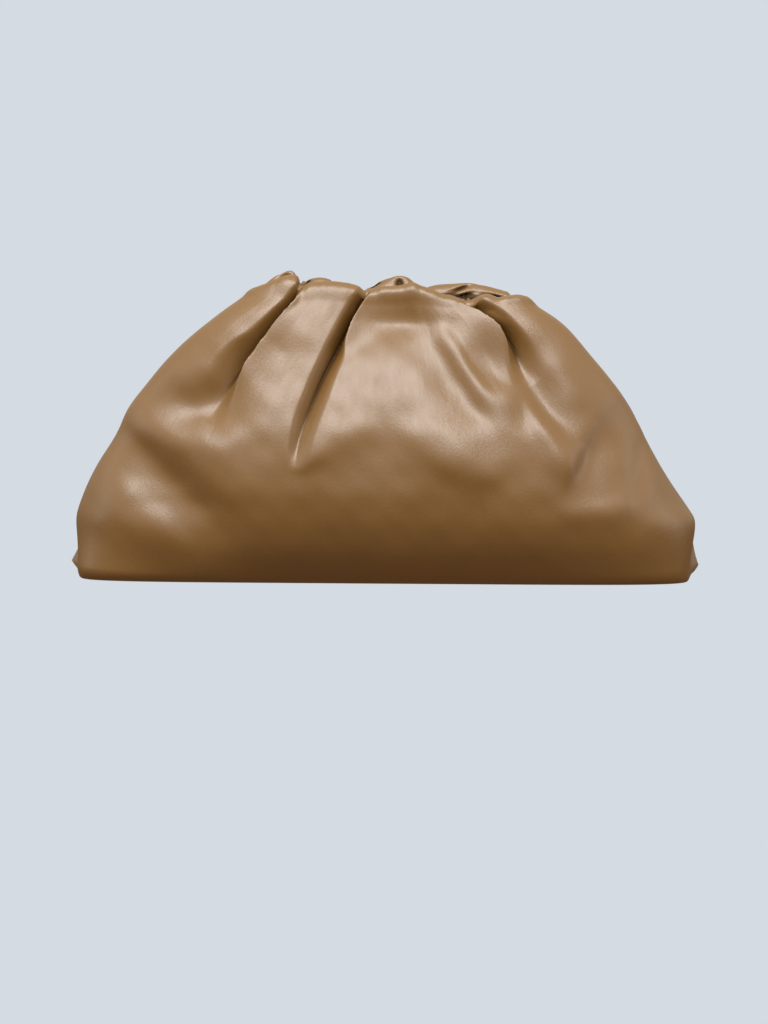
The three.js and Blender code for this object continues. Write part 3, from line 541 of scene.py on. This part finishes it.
def crisp_shape(fold, x, z):
    """Depth share of a crisp pleat, how far a side lies over, and where each point is beside it."""
    away, at = beside_fold(fold, x, z)
    on_right = at["turn"] > 0
    width = np.where(on_right, at["right"], at["left"])
    share = np.minimum(away / width, 1)
    # Painted shade: a dark line painted along the bottom of a deep crease.
    deep_enough = np.clip((at["depth"] - LINE_FROM) / LINE_SPAN, 0, 1)
    at["line"] = np.exp(-((away / CREASE_LINE) ** 2)) * deep_enough
    rounded = np.hypot(share, CREASE_SOFTNESS) - CREASE_SOFTNESS
    soft = rounded / (math.hypot(1, CREASE_SOFTNESS) - CREASE_SOFTNESS)
    depth = at["depth"] * (1 - soft) ** 2 * (1 + soft)
    over = on_right if fold["over"] == "right" else ~on_right
    rise = np.clip(away / width, 0, 1) ** 2
    fade = np.exp(-((np.maximum(away - width, 0) / OVER_REACH) ** 2))
    lean = np.where(over, rise * fade * crisp_side(width) * at["depth"], 0)
    return depth, lean, at


# %% Grid lines drawn in to each crease
DRAW_REACH = 9.0
DRAW_SHARE = 0.88
DRAW_FULL_DEPTH = 0.5


def across_path(at, normal):
    """Unit direction away from the path, along the leather."""
    out = np.stack([-at["dz"], np.zeros_like(at["dz"]), at["dx"]], axis=-1)
    out *= np.where(at["turn"] > 0, 1, -1)[..., None]
    out -= normal * np.sum(out * normal, axis=-1, keepdims=True)
    return out


def drawn_to_creases(base, normal, folds, strength):
    """Slides points towards crisp creases, so that the grid follows them and is finer there."""
    for fold in folds:
        if fold["over"] is None:
            continue
        away, at = beside_fold(fold, base[..., 0], base[..., 2])
        crisp = crisp_side(np.minimum(at["left"], at["right"]))
        deep = np.clip(at["depth"] / DRAW_FULL_DEPTH, 0, 1)
        pull = DRAW_SHARE * crisp * deep * np.minimum(strength, 1)
        shift = away * pull * np.clip(1 - away / DRAW_REACH, 0, 1)
        base = base - across_path(at, normal) * shift[..., None]
    return base


# %% [markdown]
# ## Laying the folds into the body
#
# The folds push the leather in along its own normal, and the side that lies over also moves across
# the valley. Near the mouth the leather is gathered too tightly for single folds, so small uneven
# ripples run over the lips and fade out a few centimetres down.

# %% Ripples of the gathered lips
RIPPLE_DEPTH = 0.5
RIPPLE_FADE = 16.0
RIPPLES = [
    dict(pitch=11.3, phase=0.4, share=0.5),
    dict(pitch=7.1, phase=2.1, share=0.35),
    dict(pitch=4.7, phase=5.0, share=0.15),
]
UNEVEN = dict(share=0.4, pitch=61, phase=1.3)


def ripples(across, side, below):
    """Outward wave of the gathered leather, along the mouth and at a distance below the crest."""
    along = across * MOUTH_LENGTH / 2
    turns = 2 * math.pi * along
    wave = sum(r["share"] * np.sin(turns / r["pitch"] + r["phase"] + side) for r in RIPPLES)
    swell = np.sin(turns / UNEVEN["pitch"] + UNEVEN["phase"] * side)
    uneven = 1 - UNEVEN["share"] + UNEVEN["share"] * swell
    return RIPPLE_DEPTH * wave * uneven * np.exp(-below / RIPPLE_FADE)


# %% Slack of the hide between the folds
SLACK_HEIGHT = 0.2
SLACK_LENGTHS = (62, 47, 38, 29, 23, 18, 14)
SLACK_TURN = 2.4
SLACK_PHASE = 1.7


def slack(x, z, side):
    """Low uneven waves of the soft hide, each with its own length and direction."""
    waves = np.zeros_like(x)
    for k, length in enumerate(SLACK_LENGTHS):
        turn = SLACK_TURN * k + side
        along = x * math.cos(turn) + z * math.sin(turn)
        waves += length / SLACK_LENGTHS[0] * np.sin(2 * math.pi * along / length + SLACK_PHASE * k)
    return SLACK_HEIGHT * waves


# %% Lay the folds
OVER_LEAN = 1.3
OVER_ROLL = 0.9
SOFT_SHADE = 0.35
LINE_SHADE = 0.6


def laid_folds(folds, base, normal, full, below_lip):
    """How the folds move each point, and how deep in a fold it lies, which sets the painted shade."""
    x, z = base[..., 0], base[..., 2]
    move = np.zeros_like(base)
    painted_shade = np.zeros_like(x)
    strength = full / PLEAT_DEPTH
    for fold in folds:
        # Painted shade gathers here: the deeper a point lies in a fold, and the nearer a crease's bottom,
        # the darker its colour is painted.
        if fold["over"] is None:
            depth = soft_shape(fold, x, z)
            painted_shade += SOFT_SHADE * np.maximum(depth, 0) * strength
        else:
            depth, lean, at = crisp_shape(fold, x, z)
            lean = lean * strength * below_lip
            move += normal * (OVER_ROLL * lean)[..., None]
            move -= across_path(at, normal) * (OVER_LEAN * lean)[..., None]
            painted_shade += (depth + LINE_SHADE * at["line"]) * strength
        move -= normal * (depth * full)[..., None]
    return move, painted_shade


# %% Small waves, and the groove along the seams
SEAM_GROOVE = dict(depth=1.1, width=2.2, fade=20)
SEAM_CALM = 20


def small_waves(x, z, side, full, below):
    """Outward move of the ripples and of the slack hide, less the groove along the side seams."""
    wave = ripples(across_columns[None, :], side, below) * np.minimum(full / PLEAT_ROOM, 1)
    to_seam = np.minimum(across_columns + 1, 1 - across_columns)[None, :] * BODY_LENGTH / 2
    groove = SEAM_GROOVE["depth"] * np.exp(-((to_seam / SEAM_GROOVE["width"]) ** 2))
    above_sole = (row_knots[-2] - stations) / SEAM_GROOVE["fade"]
    groove = groove * np.clip(above_sole, 0, 1)[:, None]
    calm = np.minimum(full / PLEAT_DEPTH, 1) * np.clip(to_seam / SEAM_CALM, 0, 1)
    return wave - groove + calm * slack(x, z, side)


# %% One side of the bag
BELOW_LIP = dict(start=3, length=9)
MOUTH_SHADE = dict(start=7.5, length=4, strength=2.3)
HOLLOW_SHADE = 1.8
crest_station = row_knots[[row["name"] for row in LIP_ROWS].index("crest")]


def pleated_surface(side):
    """The outer face of the front or the back, and its painted shade from folds, mouth and dents."""
    folds = FRONT_FOLDS if side < 0 else BACK_FOLDS
    base = base_surface(side)
    normal = normals_of(base, side)
    full = smooth_through(row_knots, pleat_depths, stations)[:, None] * np.ones(base.shape[:2])
    below_lip = (stations - crest_station - BELOW_LIP["start"]) / BELOW_LIP["length"]
    below_lip = np.clip(below_lip, 0, 1)[:, None]
    base = drawn_to_creases(base, normal, folds, below_lip)
    move, painted_shade = laid_folds(folds, base, normal, full, below_lip)
    x, z = base[..., 0], base[..., 2]
    inside = (crest_station - stations)[:, None]
    hollow = hollow_at(x, inside, side)
    move[..., 1] += HOLLOW_DEPTH * hollow
    # Painted shade: deep inside the mouth and in the back lip's dents the leather is painted dark.
    mouth_shade_share = np.clip((inside - MOUTH_SHADE["start"]) / MOUTH_SHADE["length"], 0, 1)
    painted_shade += MOUTH_SHADE["strength"] * mouth_shade_share + HOLLOW_SHADE * hollow
    move += normal * small_waves(x, z, side, full, np.abs(inside))[..., None]
    return base + move, painted_shade


# %% [markdown]
# ## A wall of leather
#
# Each side becomes one closed wall: the outer face on the fine grid, the flesh side 2 mm behind it on
# every second grid line, and narrow walls that join their edges. The front and back meet at the side
# seams and along the middle of the sole, where the leather is flat. A solidify modifier would push
# the flesh side out through the outer face wherever a fold is tighter than the leather is thick. Real
# leather is squeezed thin there, so each point behind a tight fold is brought closer to the outer
# face, step by step.


# %% Faces of a closed wall
def grid_faces(rows, columns, first, flip):
    """Four-sided faces of a grid of points, the other way round when flipped."""
    index = first + np.arange(rows * columns).reshape(rows, columns)
    corners = [index[:-1, :-1], index[1:, :-1], index[1:, 1:], index[:-1, 1:]]
    if flip:
        corners.reverse()
    return np.stack(corners, axis=-1).reshape(-1, 4)


def rim_of(rows, columns, first):
    """The grid's edge as one loop: along the top, down, back along the bottom and up."""
    index = first + np.arange(rows * columns).reshape(rows, columns)
    return np.concatenate([index[0, :-1], index[:-1, -1], index[-1, :0:-1], index[:0:-1, 0]])


def wall_faces(outer_rim, inner_rim):
    """Joins a rim to one with half as many points."""
    faces = []
    for k in range(len(inner_rim)):
        a, b, c = (outer_rim[(2 * k + step) % len(outer_rim)] for step in range(3))
        d, e = inner_rim[k], inner_rim[(k + 1) % len(inner_rim)]
        faces += [(a, b, d), (b, e, d), (b, c, e)]
    return faces


# %% The flesh side
THINNING = 0.6
THINNING_PASSES = 5
ROOM_BEHIND = 0.8


def flesh_side(outer, side):
    """The face behind the outer one, closer to it where a fold is too tight for the full leather."""
    faces = grid_faces(*outer.shape[:2], 0, side > 0).tolist()
    tree = BVHTree.FromPolygons(outer.reshape(-1, 3).tolist(), faces)
    foot, normal = outer[::2, ::2], normals_of(outer, side)[::2, ::2]
    thickness = np.full(foot.shape[:2], float(LEATHER))
    for _ in range(THINNING_PASSES):
        inner = (foot - thickness[..., None] * normal).reshape(-1, 3)
        hits = [tree.find_nearest(point) for point in inner]
        place, facing, _, away = (np.array(found) for found in zip(*hits))
        outside = np.sum((inner - place) * facing, axis=-1) > 0
        tight = outside | (away < ROOM_BEHIND * thickness.ravel())
        thickness = np.where(tight.reshape(thickness.shape), THINNING * thickness, thickness)
    return foot - thickness[..., None] * normal


# %% A closed mesh, and values on its points
def wall_mesh(name, grids):
    """One closed mesh from the outer and the flesh side's grids, with a material index for each."""
    points = np.concatenate([g.reshape(-1, 3) for g in grids]) * MM
    outer_size, inner_size = (g.shape[:2] for g in grids)
    first = outer_size[0] * outer_size[1]
    outer_faces = grid_faces(*outer_size, 0, False).tolist()
    inner_faces = grid_faces(*inner_size, first, True).tolist()
    walls = wall_faces(rim_of(*outer_size, 0), rim_of(*inner_size, first))
    mesh = bpy.data.meshes.new(name)
    mesh.from_pydata(points.tolist(), [], outer_faces + walls + inner_faces)
    looks = [0] * (len(outer_faces) + len(walls)) + [1] * len(inner_faces)
    mesh.polygons.foreach_set("material_index", looks)
    return mesh


def set_values(mesh, name, kind, field, grids):
    """Stores a value on each point, for the leather's material to read."""
    values = np.concatenate([g.ravel() for g in grids])
    mesh.attributes.new(name, kind, "POINT").data.foreach_set(field, values)


# %% Build the front and the back
SHARP_ANGLE = math.radians(70)


def leather_side(name, side):
    """One side of the bag, with its painted shade, and lay, each point's place on the flat hide."""
    outer, painted_shade = pleated_surface(side)
    inner = flesh_side(outer, side)
    inner[-1, :, 2] = LEATHER
    lay = np.zeros(outer.shape)
    lay[..., 0] = across_columns[None, :] * BODY_LENGTH / 2
    lay[..., 1] = stations[:, None]
    grids, lays = [outer, inner], [lay * MM, lay[::2, ::2] * MM]
    painted_shades = [painted_shade, np.zeros(inner.shape[:2])]
    if side > 0:
        grids, painted_shades, lays = ([g[:, ::-1] for g in group] for group in (grids, painted_shades, lays))
    mesh = wall_mesh(name, grids)
    set_values(mesh, "painted_shade", "FLOAT", "value", painted_shades)
    set_values(mesh, "lay", "FLOAT_VECTOR", "vector", lays)
    mesh.shade_smooth()
    mesh.set_sharp_from_angle(angle=SHARP_ANGLE)
    piece = bpy.data.objects.new(name, mesh)
    bpy.context.scene.collection.objects.link(piece)
    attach(piece, "root")
    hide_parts("leather_body")
    triangles = len(mesh.loops) - 2 * len(mesh.polygons)
    low, high = outer.reshape(-1, 3).min(0), outer.reshape(-1, 3).max(0)
    print(name, triangles, "triangles, box", low.round(1), high.round(1))
    return piece


leather_front = leather_side("leather_front", -1)
leather_back = leather_side("leather_back", 1)

# %% [markdown]
# ## Materials
#
# One function turns the sRGB hex values that a designer reads off a swatch into the linear numbers
# that a renderer adds up, and one adds a node with its settings and links.


# %% Colours and nodes
def linear(hex_colour):
    """sRGB hex to linear red, green, blue and alpha."""
    parts = [int(hex_colour[i : i + 2], 16) / 255 for i in (1, 3, 5)]
    return (*(c / 12.92 if c <= 0.04045 else ((c + 0.055) / 1.055) ** 2.4 for c in parts), 1)


def add_node(tree, kind, inputs=None, **settings):
    """Adds a node, gives it its settings, and fills or links its inputs."""
    node = tree.nodes.new(kind)
    for key, value in settings.items():
        setattr(node, key, value)
    for key, value in (inputs or {}).items():
        if isinstance(value, bpy.types.NodeSocket):
            tree.links.new(value, node.inputs[key])
        else:
            node.inputs[key].default_value = value
    return node


def new_material(name):
    """An empty material and its node tree."""
    material = bpy.data.materials.new(name)
    material.use_nodes = True
    material.node_tree.nodes.clear()
    return material, material.node_tree


def per_metre(size_mm):
    """Texture scale that repeats once in a size given in millimetres."""
    return 1 / (size_mm * MM)


# %% [markdown]
# ### Calf nappa
#
# The bag is full-grain calf, tumbled soft and given a thin satin finish. Its pores are under half a
# millimetre, too fine to show from a metre and a half, so the grain is drawn at 1.2 mm. The colour is
# even, apart from painted shade: darker and with less shine in the folds, along the creases and inside
# the mouth, where shade falls. The finish is satin, with a broad soft shine.

# %% Calf nappa
# A colour Mix node has its share at socket 0, its colours at 6 and 7, and the mixed colour at output 2.
MIX_SHARE, MIX_FIRST, MIX_SECOND, MIXED = 0, 6, 7, 2
CALF_COLOUR = "#835F2D"
CALF_DARK = "#7A5728"
# Painted shade: the colours painted into the folds and creases, and inside the mouth.
CALF_FOLD_SHADE = "#3A2612"
CALF_MOUTH_SHADE = "#2A1B0E"
GRAIN_SIZE = 1.2
CREASE_SIZE = 6.0
CREASE_STRETCH = (1.0, 0.4, 1.0)
CLOUD_SIZE = 45.0


def calf_nappa():
    """Satin calf with painted shade, darker and duller in folds and mouth, with fine creases and grain."""
    material, tree = new_material("calf_nappa_satin")
    place = add_node(tree, "ShaderNodeTexCoord").outputs["Object"]
    lay = add_node(tree, "ShaderNodeAttribute", attribute_name="lay").outputs["Vector"]
    painted_shade = add_node(tree, "ShaderNodeAttribute", attribute_name="painted_shade").outputs["Fac"]
    clouds = add_node(tree, "ShaderNodeTexNoise", {
        "Vector": place, "Scale": per_metre(CLOUD_SIZE), "Detail": 3.0})
    tone = add_node(tree, "ShaderNodeMix", {
        MIX_SHARE: clouds.outputs["Fac"], MIX_FIRST: linear(CALF_DARK),
        MIX_SECOND: linear(CALF_COLOUR)}, data_type="RGBA")
    # Painted shade in the folds and creases.
    fold_shade_share = add_node(tree, "ShaderNodeMapRange", {
        "Value": painted_shade, "From Min": 0.5, "From Max": 1.3, "To Max": 0.9})
    fold_shaded = add_node(tree, "ShaderNodeMix", {
        MIX_SHARE: fold_shade_share.outputs["Result"], MIX_FIRST: tone.outputs[MIXED],
        MIX_SECOND: linear(CALF_FOLD_SHADE)}, data_type="RGBA")
    # Painted shade inside the mouth and the back lip's dents.
    mouth_shade_share = add_node(tree, "ShaderNodeMapRange", {
        "Value": painted_shade, "From Min": 1.7, "From Max": 2.3, "To Max": 0.85})
    colour = add_node(tree, "ShaderNodeMix", {
        MIX_SHARE: mouth_shade_share.outputs["Result"], MIX_FIRST: fold_shaded.outputs[MIXED],
        MIX_SECOND: linear(CALF_MOUTH_SHADE)}, data_type="RGBA")
    grain = add_node(tree, "ShaderNodeTexVoronoi", {
        "Vector": place, "Scale": per_metre(GRAIN_SIZE)}, feature="SMOOTH_F1")
    stretch = add_node(tree, "ShaderNodeVectorMath", {0: lay, 1: CREASE_STRETCH}, operation="MULTIPLY")
    creases = add_node(tree, "ShaderNodeTexNoise", {
        "Vector": stretch.outputs[0], "Scale": per_metre(CREASE_SIZE), "Detail": 4.0, "Roughness": 0.6})
    shine = add_node(tree, "ShaderNodeMapRange", {
        "Value": creases.outputs["Fac"], "From Min": 0.3, "From Max": 0.7, "To Min": 0.35, "To Max": 0.43})
    # Painted shade on the shine: less shine where the folds and the mouth are in shade.
    shine_outside_shade = add_node(tree, "ShaderNodeMapRange", {
        "Value": painted_shade, "From Min": 0.6, "From Max": 1.1, "To Min": 0.85, "To Max": 0.1})
    coarse = add_node(tree, "ShaderNodeBump", {
        "Height": creases.outputs["Fac"], "Strength": 0.4, "Distance": 0.0004})
    fine = add_node(tree, "ShaderNodeBump", {
        "Height": grain.outputs["Distance"], "Strength": 0.25, "Distance": 0.0002,
        "Normal": coarse.outputs["Normal"]})
    skin = add_node(tree, "ShaderNodeBsdfPrincipled", {
        "Base Color": colour.outputs[MIXED], "Roughness": shine.outputs["Result"],
        "Normal": fine.outputs["Normal"], "IOR": 1.5, "Specular IOR Level": shine_outside_shade.outputs["Result"]})
    add_node(tree, "ShaderNodeOutputMaterial", {"Surface": skin.outputs["BSDF"]})
    return material


# %% [markdown]
# ### Flesh side
#
# Inside, the same hide shows its other face, which is sueded: matt, paler, and with a short nap that
# takes no shine.

# %% Sueded flesh side
SUEDE_COLOUR = "#8A6A48"
NAP_SIZE = 1.5


def sueded_calf():
    """The hide's matt inner face, with a short nap."""
    material, tree = new_material("calf_flesh_side_suede")
    place = add_node(tree, "ShaderNodeTexCoord").outputs["Object"]
    nap = add_node(tree, "ShaderNodeTexNoise", {
        "Vector": place, "Scale": per_metre(NAP_SIZE), "Detail": 5.0})
    bump = add_node(tree, "ShaderNodeBump", {
        "Height": nap.outputs["Fac"], "Strength": 0.6, "Distance": 0.0004})
    skin = add_node(tree, "ShaderNodeBsdfPrincipled", {
        "Base Color": linear(SUEDE_COLOUR), "Roughness": 0.9, "Sheen Weight": 0.3,
        "Normal": bump.outputs["Normal"]})
    add_node(tree, "ShaderNodeOutputMaterial", {"Surface": skin.outputs["BSDF"]})
    return material


calf, suede = calf_nappa(), sueded_calf()
for piece in (leather_front, leather_back):
    piece.data.materials.append(calf)
    piece.data.materials.append(suede)
print("leather materials:", calf.name, suede.name)

# %% [markdown]
# ### Lacquered steel
#
# The frame bar is hidden in the lips. It is bent from steel strip and lacquered, so it keeps a
# brushed grain under a thin clear coat.

# %% Lacquered steel of the frame
STEEL_COLOUR = "#8C8A86"
BRUSH_SIZE = 0.4
BRUSH_STRETCH = (0.05, 1.0, 1.0)
steel, tree = new_material("lacquered_steel_strip")
place = add_node(tree, "ShaderNodeTexCoord").outputs["Object"]
along_bar = add_node(tree, "ShaderNodeVectorMath", {0: place, 1: BRUSH_STRETCH}, operation="MULTIPLY")
brushed = add_node(tree, "ShaderNodeTexNoise", {
    "Vector": along_bar.outputs[0], "Scale": per_metre(BRUSH_SIZE), "Detail": 2.0})
polish = add_node(tree, "ShaderNodeMapRange", {
    "Value": brushed.outputs["Fac"], "To Min": 0.28, "To Max": 0.42})
metal = add_node(tree, "ShaderNodeBsdfPrincipled", {
    "Base Color": linear(STEEL_COLOUR), "Metallic": 1.0, "Roughness": polish.outputs["Result"],
    "Coat Weight": 0.3})
add_node(tree, "ShaderNodeOutputMaterial", {"Surface": metal.outputs["BSDF"]})
frame_bar = bpy.data.objects["closure_frame"]
frame_bar.data.materials.clear()
frame_bar.data.materials.append(steel)
print("frame bar wears", steel.name)

# %% [markdown]
# ## Floor, light and camera
#
# The bag stands on a pale floor under one wide softbox overhead, a little in front of it, which
# lights every surface that faces up and leaves the underside of the belly dark. The floor doesn't
# throw light back up, because in the photograph the lower half of the bag is dark down to its sole.

# %% Floor
ROOM_COLOUR = "#D5DBE2"
FLOOR_SIZE = 30.0
half = FLOOR_SIZE / 2
corners = [(-half, -half, 0), (half, -half, 0), (half, half, 0), (-half, half, 0)]
floor_mesh = bpy.data.meshes.new("studio_floor")
floor_mesh.from_pydata(corners, [], [(0, 1, 2, 3)])
floor = bpy.data.objects.new("studio_floor", floor_mesh)
bpy.context.scene.collection.objects.link(floor)
floor.visible_diffuse = False
floor.visible_glossy = False
paper, tree = new_material("studio_paper")
glow = add_node(tree, "ShaderNodeEmission", {"Color": linear(ROOM_COLOUR), "Strength": 1.0})
add_node(tree, "ShaderNodeOutputMaterial", {"Surface": glow.outputs[0]})
floor_mesh.materials.append(paper)
print("floor", FLOOR_SIZE, "m across")

# %% Room
DOME_COLOUR = "#FBF9F4"
BOUNCE_COLOUR = "#9A7E66"
FILL_STRENGTH = 0.75
world = bpy.data.worlds.new("studio")
bpy.context.scene.world = world
world.use_nodes = True
tree = world.node_tree
tree.nodes.clear()
seen = add_node(tree, "ShaderNodeBackground", {"Color": linear(ROOM_COLOUR), "Strength": 1.0})
way = add_node(tree, "ShaderNodeTexCoord").outputs["Generated"]
height = add_node(tree, "ShaderNodeSeparateXYZ", {"Vector": way}).outputs["Z"]
dome = add_node(tree, "ShaderNodeMapRange", {"Value": height, "From Min": -0.1, "From Max": 0.35})
glow = add_node(tree, "ShaderNodeMix", {
    MIX_SHARE: dome.outputs["Result"], MIX_FIRST: linear(BOUNCE_COLOUR),
    MIX_SECOND: linear(DOME_COLOUR)}, data_type="RGBA")
fill = add_node(tree, "ShaderNodeBackground", {"Color": glow.outputs[MIXED], "Strength": FILL_STRENGTH})
ray = add_node(tree, "ShaderNodeLightPath")
sky = add_node(tree, "ShaderNodeMixShader", {
    0: ray.outputs["Is Camera Ray"], 1: fill.outputs[0], 2: seen.outputs[0]})
add_node(tree, "ShaderNodeOutputWorld", {"Surface": sky.outputs[0]})
print("room fills with strength", FILL_STRENGTH)


# %% Softbox
def softbox(name, place, aim, size, power):
    """A rectangular lamp aimed at a point, with its size in metres and its power in watts."""
    light = bpy.data.lights.new(name, "AREA")
    light.shape = "RECTANGLE"
    light.size, light.size_y = size
    light.energy = power
    lamp = bpy.data.objects.new(name, light)
    lamp.location = place
    direction = Vector(aim) - Vector(place)
    lamp.rotation_euler = direction.to_track_quat("-Z", "Y").to_euler()
    bpy.context.scene.collection.objects.link(lamp)
    return lamp


softbox("overhead_softbox", (-0.1, -0.8, 1.42), (0, 0, 0.1), (1.4, 0.8), 25)
softbox("left_strip_softbox", (-1.3, -0.3, 0.5), (-0.1, 0, 0.1), (0.4, 1.0), 1.2)
softbox("right_strip_softbox", (1.3, -0.3, 0.5), (0.1, 0, 0.1), (0.4, 1.0), 1.5)

# %% [markdown]
# ### Camera
#
# The camera stands a metre and a half away, a little to the right and a little above, as in the
# photograph. Its lens is set by how many pixels the picture gives to a radian, so that the bag fills
# as much of the frame.

# %% Camera
CAMERA_DISTANCE = 1.5
CAMERA_AZIMUTH = math.radians(3)
CAMERA_ELEVATION = math.radians(6)
AIM = (0.0, 0.0, 0.0385)
PIXELS_PER_RADIAN = 2459
IMAGE_HEIGHT = 1024
SENSOR = 36
camera_data = bpy.data.cameras.new("camera")
camera_data.sensor_fit = "VERTICAL"
camera_data.sensor_height = SENSOR
camera_data.lens = SENSOR * PIXELS_PER_RADIAN / IMAGE_HEIGHT
camera = bpy.data.objects.new("camera", camera_data)
bpy.context.scene.collection.objects.link(camera)
flat = CAMERA_DISTANCE * math.cos(CAMERA_ELEVATION)
camera.location = (
    AIM[0] + flat * math.sin(CAMERA_AZIMUTH),
    AIM[1] - flat * math.cos(CAMERA_AZIMUTH),
    AIM[2] + CAMERA_DISTANCE * math.sin(CAMERA_ELEVATION),
)
camera.rotation_euler = (math.pi / 2 - CAMERA_ELEVATION, 0, CAMERA_AZIMUTH)
bpy.context.scene.camera = camera
bpy.context.scene.view_settings.view_transform = "Standard"
print("camera at", [round(v, 3) for v in camera.location])
